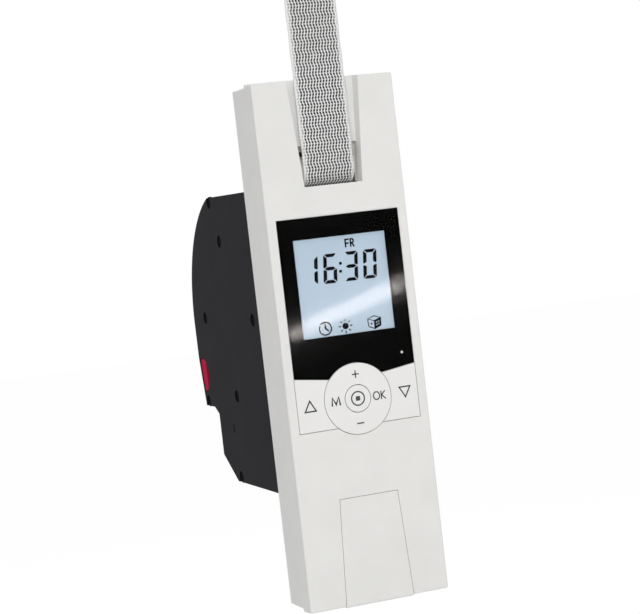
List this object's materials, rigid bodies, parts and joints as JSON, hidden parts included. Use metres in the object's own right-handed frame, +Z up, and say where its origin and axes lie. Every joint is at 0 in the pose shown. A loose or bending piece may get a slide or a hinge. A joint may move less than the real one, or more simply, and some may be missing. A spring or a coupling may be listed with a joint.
{
  "type": "electric belt winder",
  "caption": "Flush-mounted electric winder for a roller shutter belt: slim cover with display, ring key and two arrow keys, black case with reel and gear train, woven belt.",
  "frame": {"origin": "on the wall plane, midway between the two wall screws", "axes": "+X across the cover to the right as seen from the room, +Y into the wall, +Z up along the belt"},
  "size_m": [0.0636, 0.155, 0.3451],
  "materials": {
    "white_plastic": "fine-grained off-white ABS",
    "key_plastic": "smooth off-white ABS",
    "case_plastic": "matt black moulded plastic",
    "lens": "clear glossy front plate",
    "mask": "black back print",
    "lcd": "pale blue liquid crystal glass",
    "light_guide": "frosted light guide",
    "led": "clear light pipe",
    "board": "green circuit board",
    "chip": "black package",
    "connector": "cream nylon",
    "switch": "black switch with steel cap",
    "inner_plastic": "grey acetal",
    "gear_plastic": "natural acetal",
    "steel": "bright steel",
    "zinc_steel": "zinc-plated steel",
    "red_plastic": "red moulded plastic",
    "belt": "woven grey and white belt",
    "terminal": "green nylon",
    "copper": "varnished winding and core"
  },
  "bodies": {
    "unit": {"bearing_disc": "inner_plastic", "belt_free": "belt", "belt_loop": "belt", "belt_run": "belt", "board_chips": "chip", "board_connector": "connector", "board_screws": "zinc_steel", "cable_clamp": "inner_plastic", "case_screws": "zinc_steel", "clamp_screws": "zinc_steel", "control_board": "board", "display_lens": "lens", "display_mask": "mask", "encoder_sensor": "chip", "frame_screws": "zinc_steel", "front_cover": "white_plastic", "gear_axle": "steel", "gear_head": "zinc_steel", "gimbal_base": "inner_plastic", "lcd_backlight": "light_guide", "lcd_frame": "inner_plastic", "lcd_glass": "lcd", "left_housing": "case_plastic", "lever_pin": "steel", "motor_can": "zinc_steel", "motor_plate": "zinc_steel", "motor_plate_screws": "zinc_steel", "mounting_frame": "white_plastic", "power_board": "board", "power_parts": "chip", "reel_shaft": "steel", "right_housing": "case_plastic", "roller_bracket": "inner_plastic", "sensor_socket": "chip", "status_led": "led", "tact_switches": "switch", "terminal_block": "terminal", "terminal_screws": "zinc_steel", "transformer": "copper"},
    "reel": {"reel_hub": "inner_plastic", "reel_flange_left": "inner_plastic", "reel_flange_right": "inner_plastic", "reel_gear": "gear_plastic", "belt_clamp": "zinc_steel", "belt_coil": "belt"},
    "roller": {"deflection_roller": "inner_plastic", "roller_axle": "steel", "encoder_wheel": "case_plastic"},
    "reduction": {"reduction_gear": "gear_plastic"},
    "motor_rotor": {"motor_shaft": "steel", "motor_pinion": "steel"},
    "left_key": {"up_key": "key_plastic"},
    "right_key": {"down_key": "key_plastic"},
    "centre_key": {"stop_key": "key_plastic"},
    "gimbal": {"ring_gimbal": "inner_plastic"},
    "ring_key": {"nav_ring": "key_plastic"},
    "service_door": {"service_cover": "white_plastic"},
    "lever": {"release_lever": "red_plastic"}
  },
  "joints": [
    {"name": "reel_spin", "type": "hinge", "parent": "unit", "child": "reel", "pos_m": [0, 0.077, 0.0105], "axis": [1, 0, 0], "continuous": true},
    {"name": "roller_spin", "type": "hinge", "parent": "unit", "child": "roller", "pos_m": [0, -0.0126, 0.0728], "axis": [1, 0, 0], "continuous": true},
    {"name": "reduction_spin", "type": "hinge", "parent": "unit", "child": "reduction", "pos_m": [0.016, 0.077, -0.0395], "axis": [1, 0, 0], "continuous": true},
    {"name": "motor_spin", "type": "hinge", "parent": "unit", "child": "motor_rotor", "pos_m": [0.016, 0.04746, -0.04471], "axis": [1, 0, 0], "continuous": true},
    {"name": "up_key_press", "type": "slide", "parent": "unit", "child": "left_key", "axis": [0, 1, 0], "range_m": [0, 0.0006], "stiffness_N_per_m": 300},
    {"name": "down_key_press", "type": "slide", "parent": "unit", "child": "right_key", "axis": [0, 1, 0], "range_m": [0, 0.0006], "stiffness_N_per_m": 300},
    {"name": "stop_key_press", "type": "slide", "parent": "unit", "child": "centre_key", "axis": [0, 1, 0], "range_m": [0, 0.0006], "stiffness_N_per_m": 300},
    {"name": "ring_menu_ok_tilt", "type": "hinge", "parent": "unit", "child": "gimbal", "pos_m": [0, -0.0189, -0.0241], "axis": [0, 0, 1], "range_deg": [-2, 2], "stiffness_Nm_per_rad": 0.03},
    {"name": "ring_plus_minus_tilt", "type": "hinge", "parent": "gimbal", "child": "ring_key", "pos_m": [0, -0.0189, -0.0241], "axis": [1, 0, 0], "range_deg": [-2, 2], "stiffness_Nm_per_rad": 0.03},
    {"name": "service_cover_slide", "type": "slide", "parent": "unit", "child": "service_door", "axis": [0, 0, -1], "range_m": [0, 0.05]},
    {"name": "release_lever_turn", "type": "hinge", "parent": "unit", "child": "lever", "pos_m": [-0.0198, 0.1228, -0.0175], "axis": [0, 0, 1], "range_deg": [-10, 0]}
  ],
  "couplings": [
    {"joint": "roller_spin", "follows": "reel_spin", "ratio": -6},
    {"joint": "reduction_spin", "follows": "reel_spin", "ratio": -5.25},
    {"joint": "motor_spin", "follows": "reel_spin", "ratio": 14.438}
  ]
}
